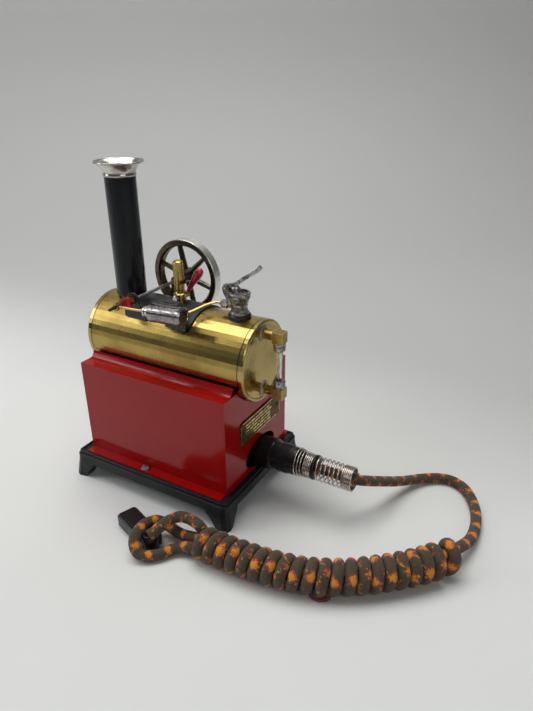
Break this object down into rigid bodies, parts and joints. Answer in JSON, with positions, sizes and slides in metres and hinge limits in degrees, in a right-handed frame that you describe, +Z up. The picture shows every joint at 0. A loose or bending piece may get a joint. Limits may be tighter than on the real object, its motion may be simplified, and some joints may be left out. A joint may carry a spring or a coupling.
{
  "type": "model steam engine",
  "caption": "Electrically heated model steam engine: horizontal brass boiler on a red firebox, chimney, flywheel, oscillating cylinder, whistle, safety valve and braided mains cord.",
  "frame": {"origin": "bottom centre of the engine's bounding box on the floor, cord and connector left out", "axes": "+X along the boiler towards the water gauge and mains connector, +Y towards the flywheel side, +Z up"},
  "size_m": [0.2564, 0.1617, 0.204],
  "materials": {
    "cast_black": "satin black paint",
    "red_enamel": "glossy deep red enamel",
    "polished_brass": "polished, lightly tarnished",
    "dull_brass": "dull, aged",
    "chimney_black": "gloss black enamel with small rust specks",
    "nickel": "worn nickel plating",
    "engine_black": "satin black",
    "steel": "plain, slightly worn",
    "wheel_iron": "dark bronze-black with a machined tread",
    "pewter": "dull dark grey",
    "crank_red": "chipped red paint",
    "handle_red": "glossy crimson",
    "gauge_glass": "clear",
    "ceramic": "pale ceramic",
    "bakelite": "moulded black",
    "cord_braid": "woven brown braid with yellow and magenta flecks",
    "tie_red": "dark red"
  },
  "bodies": {
    "engine": {"base_casting": "cast_black", "side_panel_near": "red_enamel", "side_panel_far": "red_enamel", "gauge_end_panel": "red_enamel", "chimney_end_panel": "red_enamel", "nameplate": "dull_brass", "nameplate_rivet_near": "dull_brass", "nameplate_rivet_far": "dull_brass", "side_screw_near": "steel", "side_screw_far": "steel", "boiler_barrel": "polished_brass", "boiler_end_gauge": "dull_brass", "boiler_end_chimney": "dull_brass", "heating_element": "ceramic", "inlet_block": "ceramic", "inlet_pin_near": "steel", "inlet_pin_far": "steel", "chimney_seat": "chimney_black", "chimney_tube": "chimney_black", "chimney_cap": "nickel", "engine_frame": "engine_black", "bearing_bush_near": "dull_brass", "bearing_bush_far": "dull_brass", "port_block": "engine_black", "steam_pipe": "polished_brass", "pipe_union_nut": "pewter", "whistle_body": "polished_brass", "whistle_tube": "polished_brass", "valve_base_nut": "engine_black", "valve_body": "pewter", "fulcrum_pin": "steel", "gauge_fitting_lower": "dull_brass", "gauge_fitting_upper": "dull_brass", "gland_nut_lower": "pewter", "gland_nut_upper": "pewter", "gauge_glass": "gauge_glass"},
    "crank": {"crankshaft": "steel", "crank_web": "crank_red", "crank_pin": "steel", "flywheel": "wheel_iron"},
    "cylinder_unit": {"cylinder": "nickel", "cylinder_gland": "nickel", "pivot_pin": "steel", "pivot_spring": "steel", "pivot_nut": "dull_brass"},
    "piston_unit": {"piston_rod": "polished_brass", "big_end": "polished_brass", "big_end_nut": "engine_black"},
    "whistle_valve": {"whistle_plug": "dull_brass", "whistle_handle": "handle_red", "whistle_screw": "steel"},
    "safety_lever": {"valve_lever": "pewter"},
    "mains_lead": {"connector_body": "bakelite", "strain_relief_spring": "nickel", "cord_lead": "cord_braid", "cord_hank": "cord_braid", "cord_loop": "cord_braid", "cord_tail": "cord_braid", "cord_plug": "bakelite", "cord_tie": "tie_red"}
  },
  "joints": [
    {"name": "crank_spin", "type": "hinge", "parent": "engine", "child": "crank", "pos_m": [-0.027, 0, 0.1252], "axis": [0, 1, 0], "continuous": true},
    {"name": "cylinder_rock", "type": "hinge", "parent": "engine", "child": "cylinder_unit", "pos_m": [0.005, -0.0282, 0.1252], "axis": [0, 1, 0], "range_deg": [-4.9, 11.3]},
    {"name": "piston_slide", "type": "slide", "parent": "cylinder_unit", "child": "piston_unit", "axis": [0.9985, 0, 0.0554], "range_m": [-0.0004, 0.0085]},
    {"name": "whistle_turn", "type": "hinge", "parent": "engine", "child": "whistle_valve", "pos_m": [-0.005, 0, 0.1252], "axis": [0, 1, 0], "range_deg": [-25, 45]},
    {"name": "safety_lift", "type": "hinge", "parent": "engine", "child": "safety_lever", "pos_m": [0.0298, 0, 0.137], "axis": [0, -1, 0], "range_deg": [0, 25]},
    {"name": "connector_pull", "type": "slide", "parent": "engine", "child": "mains_lead", "axis": [1, 0, 0], "range_m": [0, 0.03]}
  ]
}
